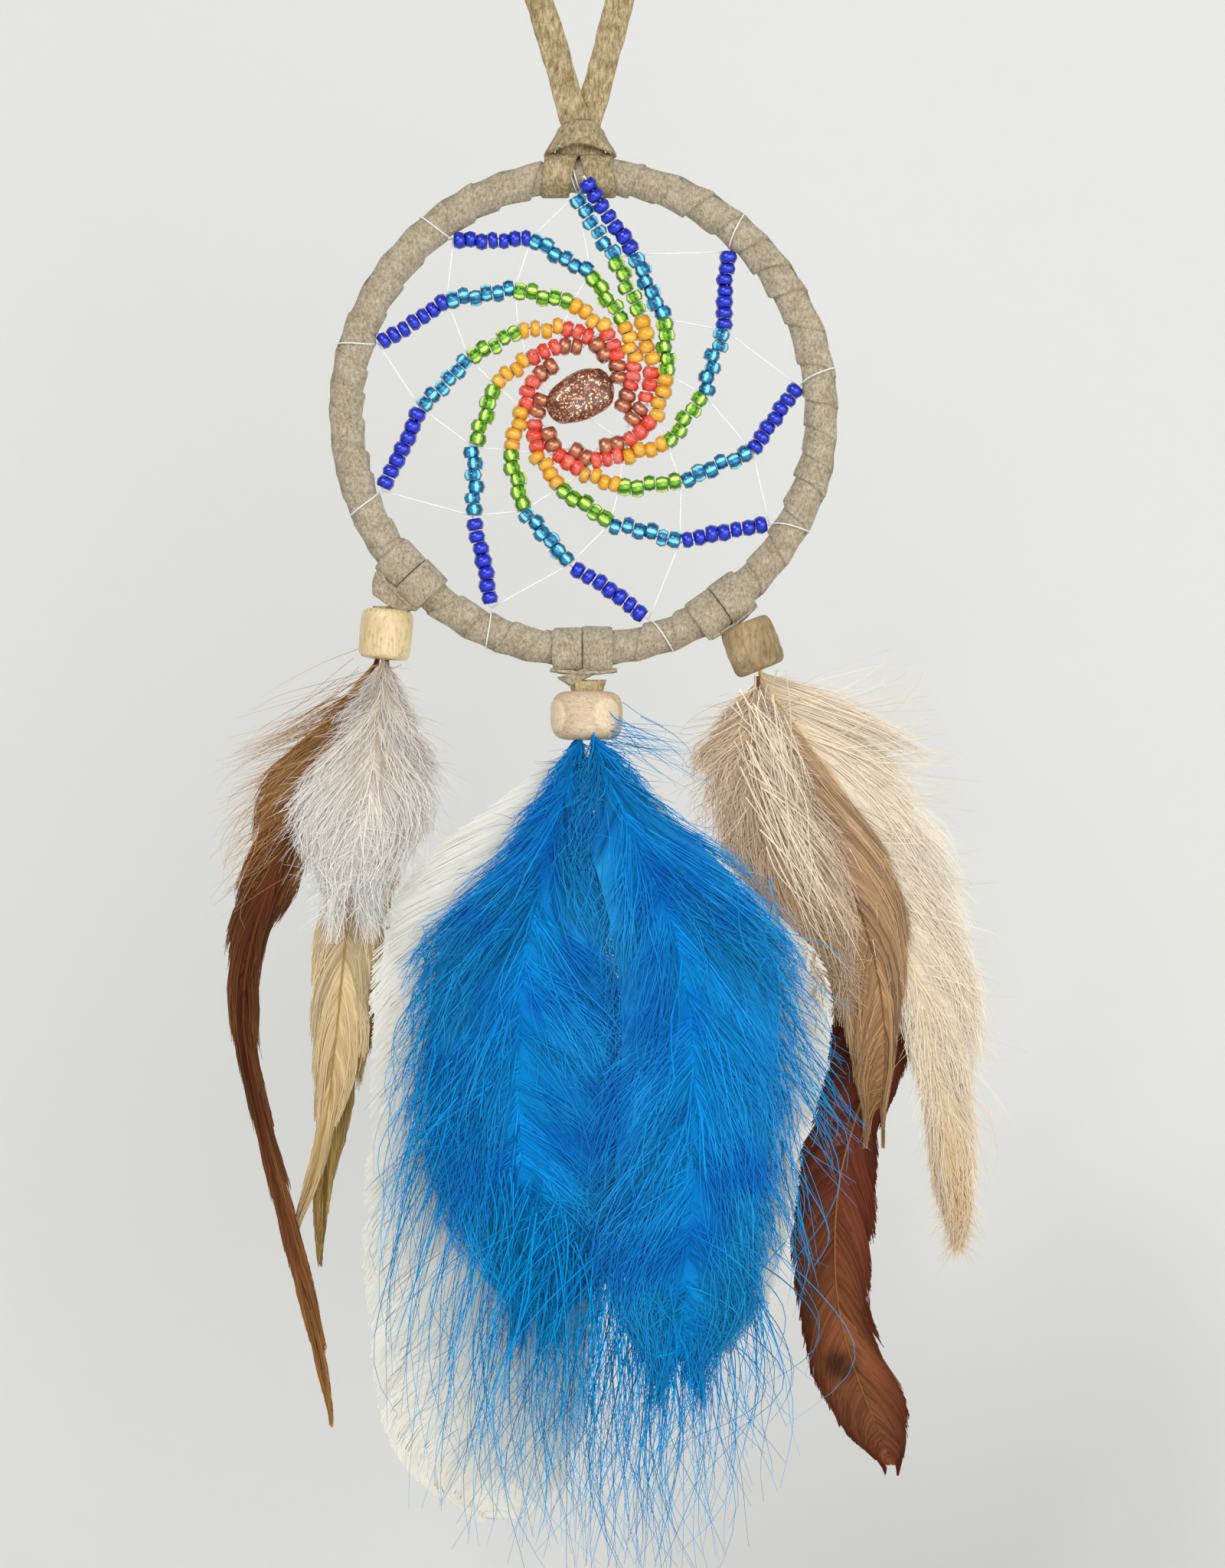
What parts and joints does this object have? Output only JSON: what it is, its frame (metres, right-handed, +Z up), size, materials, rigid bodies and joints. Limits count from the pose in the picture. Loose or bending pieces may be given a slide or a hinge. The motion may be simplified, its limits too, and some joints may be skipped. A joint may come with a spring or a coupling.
{
  "type": "dream catcher",
  "caption": "Small dream catcher: suede-wrapped hoop on a lace loop, beaded spiral web round a stone chip, and wooden-bead feather charms.",
  "frame": {"origin": "top of the hanging loop, where a nail or hook holds it", "axes": "+Z up along the hanging direction, front of the hoop towards -Y, +X to the right as seen from the front"},
  "size_m": [0.1342, 0.0139, 0.3027],
  "materials": {
    "lace_suede": "matte",
    "hoop_suede": "matte",
    "ring_metal": "satin",
    "thread": "satin",
    "blue_glass": "gloss",
    "turquoise_glass": "gloss",
    "green_glass": "gloss",
    "yellow_glass": "gloss",
    "red_glass": "gloss",
    "copper_beads": "satin",
    "goldstone": "gloss",
    "pale_wood": "gloss",
    "raw_wood": "matte",
    "rough_wood": "matte",
    "brown_feather": "satin",
    "cream_feather": "matte",
    "white_down": "matte",
    "white_feather": "matte",
    "blue_feather": "matte",
    "tan_down": "matte",
    "striped_feather": "matte",
    "mahogany_feather": "satin"
  },
  "bodies": {
    "hanger": {"hanger_lace": "lace_suede"},
    "knot": {"hanger_knot": "lace_suede"},
    "hoop": {"hoop_core": "ring_metal", "hoop_wrap": "hoop_suede", "web_thread": "thread", "blue_strand_1": "blue_glass", "blue_strand_2": "blue_glass", "blue_strand_3": "blue_glass", "blue_strand_4": "blue_glass", "blue_strand_5": "blue_glass", "blue_strand_6": "blue_glass", "blue_strand_7": "blue_glass", "blue_strand_8": "blue_glass", "blue_strand_9": "blue_glass", "turquoise_strand_1": "turquoise_glass", "turquoise_strand_2": "turquoise_glass", "turquoise_strand_3": "turquoise_glass", "turquoise_strand_4": "turquoise_glass", "turquoise_strand_5": "turquoise_glass", "turquoise_strand_6": "turquoise_glass", "turquoise_strand_7": "turquoise_glass", "turquoise_strand_8": "turquoise_glass", "turquoise_strand_9": "turquoise_glass", "turquoise_strand_10": "turquoise_glass", "green_strand_1": "green_glass", "green_strand_2": "green_glass", "green_strand_3": "green_glass", "green_strand_4": "green_glass", "green_strand_5": "green_glass", "green_strand_6": "green_glass", "green_strand_7": "green_glass", "green_strand_8": "green_glass", "green_strand_9": "green_glass", "green_strand_10": "green_glass", "yellow_round": "yellow_glass", "red_round": "red_glass", "copper_round": "copper_beads", "left_knot": "lace_suede", "centre_knot": "lace_suede", "right_knot": "lace_suede"},
    "stone": {"goldstone_chip": "goldstone"},
    "left_tail": {"left_tail": "lace_suede"},
    "left_charm": {"left_bead": "pale_wood", "left_brown_hackle": "brown_feather", "left_cream_hackle": "cream_feather", "left_olive_hackle": "cream_feather", "left_white_fluff": "white_down"},
    "centre_tail": {"centre_tail": "lace_suede"},
    "centre_charm": {"centre_bead": "raw_wood", "white_feather_left": "white_feather", "white_feather_right": "white_feather", "blue_feather_left": "blue_feather", "blue_feather_right": "blue_feather"},
    "right_tail": {"right_tail": "lace_suede"},
    "right_charm": {"right_bead": "rough_wood", "right_tan_fluff": "tan_down", "right_striped_feather": "striped_feather", "right_mahogany_feather": "mahogany_feather", "right_cream_feather": "cream_feather"}
  },
  "joints": [
    {"name": "hanger_twist", "type": "hinge", "parent": "hanger", "child": "knot", "pos_m": [-0.0006, 0, -0.053], "axis": [0, 0, 1], "range_deg": [-90, 90]},
    {"name": "hoop_tilt", "type": "hinge", "parent": "knot", "child": "hoop", "pos_m": [-0.0006, 0, -0.06205], "axis": [1, 0, 0], "range_deg": [-20, 20]},
    {"name": "stone_turn", "type": "hinge", "parent": "hoop", "child": "stone", "pos_m": [-0.00065, 0.00075, -0.1036], "axis": [0.8075, 0, -0.5899], "range_deg": [-90, 90]},
    {"name": "left_swing", "type": "hinge", "parent": "hoop", "child": "left_tail", "pos_m": [-0.0349, 0, -0.138], "axis": [1, 0, 0], "range_deg": [-30, 30]},
    {"name": "left_sway", "type": "hinge", "parent": "left_tail", "child": "left_charm", "pos_m": [-0.0349, 0, -0.1389], "axis": [0, 1, 0], "range_deg": [-5, 30]},
    {"name": "centre_swing", "type": "hinge", "parent": "hoop", "child": "centre_tail", "pos_m": [0.0006, 0, -0.151], "axis": [1, 0, 0], "range_deg": [-35, 35]},
    {"name": "centre_sway", "type": "hinge", "parent": "centre_tail", "child": "centre_charm", "pos_m": [0.0006, 0, -0.1533], "axis": [0, 1, 0], "range_deg": [-12, 12]},
    {"name": "right_swing", "type": "hinge", "parent": "hoop", "child": "right_tail", "pos_m": [0.0274, 0, -0.1424], "axis": [0.9272, 0, 0.3746], "range_deg": [-22, 22]},
    {"name": "right_sway", "type": "hinge", "parent": "right_tail", "child": "right_charm", "pos_m": [0.02763, 0, -0.14296], "axis": [0, 1, 0], "range_deg": [-20, 3]}
  ]
}
